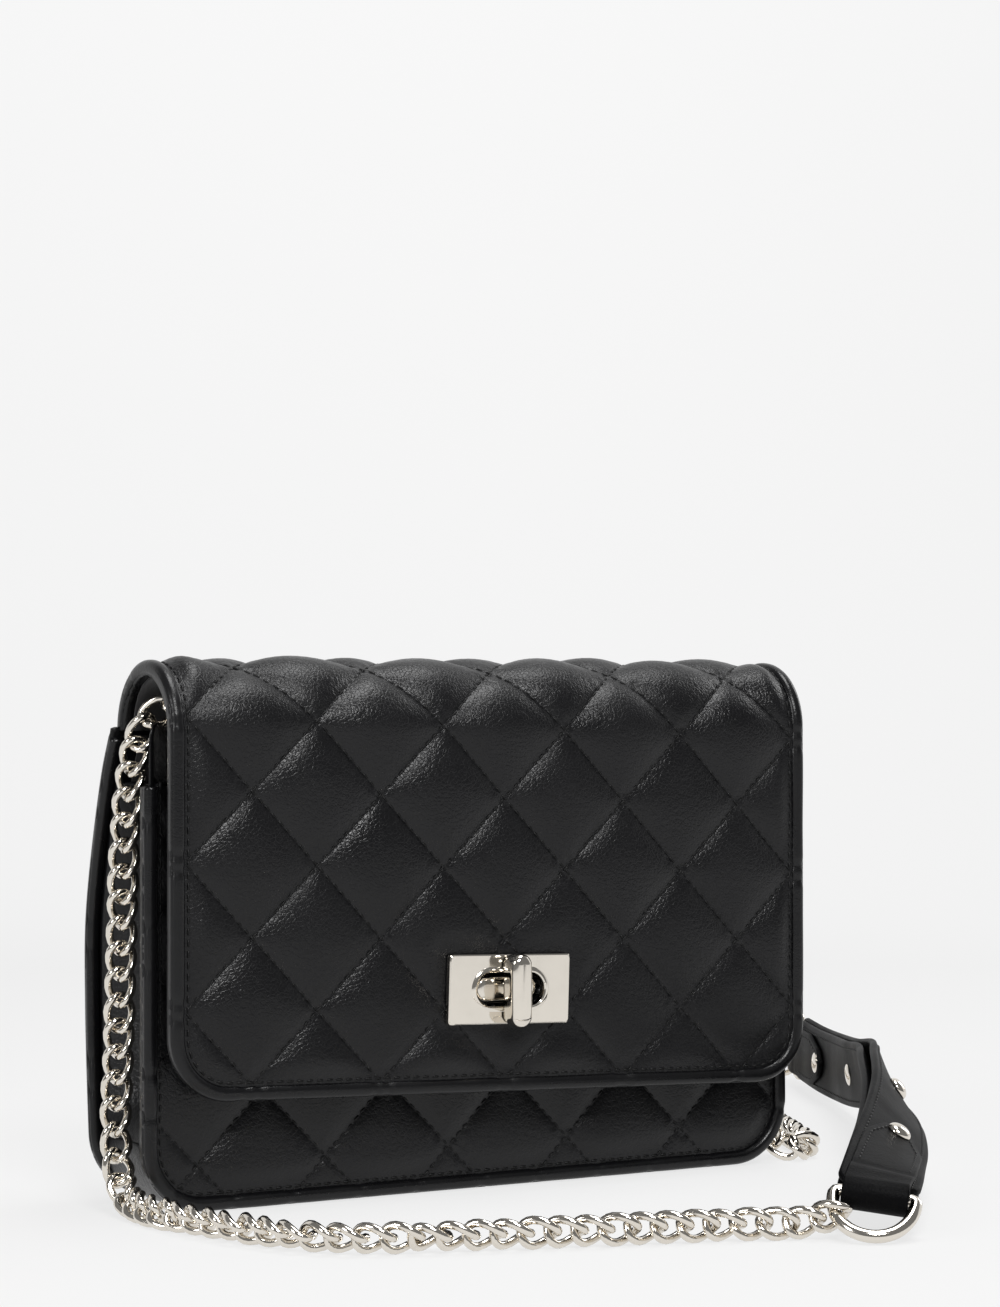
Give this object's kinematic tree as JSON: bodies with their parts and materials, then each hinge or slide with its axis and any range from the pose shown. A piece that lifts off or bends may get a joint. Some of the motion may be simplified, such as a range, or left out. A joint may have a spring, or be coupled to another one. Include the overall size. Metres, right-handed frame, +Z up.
{
  "type": "crossbody purse",
  "caption": "Small quilted leather crossbody purse with a front flap, a turn lock, and a chain strap with a leather shoulder pad.",
  "frame": {"origin": "centre of the underside of the base", "axes": "+X along the width to the right seen from the front, -Y towards the front flap, +Z up"},
  "size_m": [0.3409, 0.3115, 0.15],
  "materials": {
    "leather": "black polyurethane-coated leather with a fine pressed grain and a soft gloss",
    "lining": "dark woven lining cloth",
    "foam": "thin sheet foam wadding",
    "board": "pressed fibre board",
    "nickel": "polished nickel plate on zinc and brass"
  },
  "bodies": {
    "purse": {"back_panel": "leather", "front_panel": "leather", "gusset_left": "leather", "gusset_right": "leather", "base_panel": "leather", "front_band": "leather", "back_band": "leather", "mouth_binding": "leather", "anchor_tab_left": "leather", "anchor_tab_right": "leather", "shoulder_pad": "leather", "pad_backing": "leather", "strap_tab_front": "leather", "strap_tab_rear": "leather", "front_lining": "lining", "back_lining": "lining", "inner_pocket": "lining", "front_padding": "foam", "base_board": "board", "lock_base": "nickel", "lock_washer": "nickel", "lock_spring": "nickel", "chain_left": "nickel", "chain_right": "nickel", "tab_rivet_front": "nickel", "tab_rivet_rear": "nickel", "pad_rivet_front": "nickel", "pad_rivet_rear": "nickel"},
    "flap": {"flap_panel": "leather", "flap_padding": "foam", "flap_lining": "lining", "flap_band": "leather", "lock_plate": "nickel", "flap_back_plate": "nickel"},
    "knob": {"turn_knob": "nickel"},
    "anchor_ring_left_body": {"anchor_ring_left": "nickel"},
    "anchor_ring_right_body": {"anchor_ring_right": "nickel"},
    "strap_ring_front_body": {"strap_ring_front": "nickel"},
    "strap_ring_rear_body": {"strap_ring_rear": "nickel"}
  },
  "joints": [
    {"name": "flap_hinge", "type": "hinge", "parent": "purse", "child": "flap", "pos_m": [0, 0.005, 0.13085], "axis": [-1, 0, 0], "range_deg": [0, 145]},
    {"name": "knob_turn", "type": "hinge", "parent": "purse", "child": "knob", "pos_m": [0, -0.036, 0.058], "axis": [0, -1, 0], "range_deg": [0, 90]},
    {"name": "anchor_swing_left", "type": "hinge", "parent": "purse", "child": "anchor_ring_left_body", "pos_m": [-0.088, -0.009, 0.127], "axis": [0, 1, 0], "range_deg": [0, 90]},
    {"name": "anchor_swing_right", "type": "hinge", "parent": "purse", "child": "anchor_ring_right_body", "pos_m": [0.088, -0.009, 0.127], "axis": [0, -1, 0], "range_deg": [0, 90]},
    {"name": "ring_swing_front", "type": "hinge", "parent": "purse", "child": "strap_ring_front_body", "pos_m": [0.048, -0.1415, 0.0107], "axis": [-0.7538, 0.6458, 0.1215], "range_deg": [0, 90]},
    {"name": "ring_swing_rear", "type": "hinge", "parent": "purse", "child": "strap_ring_rear_body", "pos_m": [0.2195, 0.1345, 0.0138], "axis": [0, 0, -1], "range_deg": [0, 75]}
  ]
}
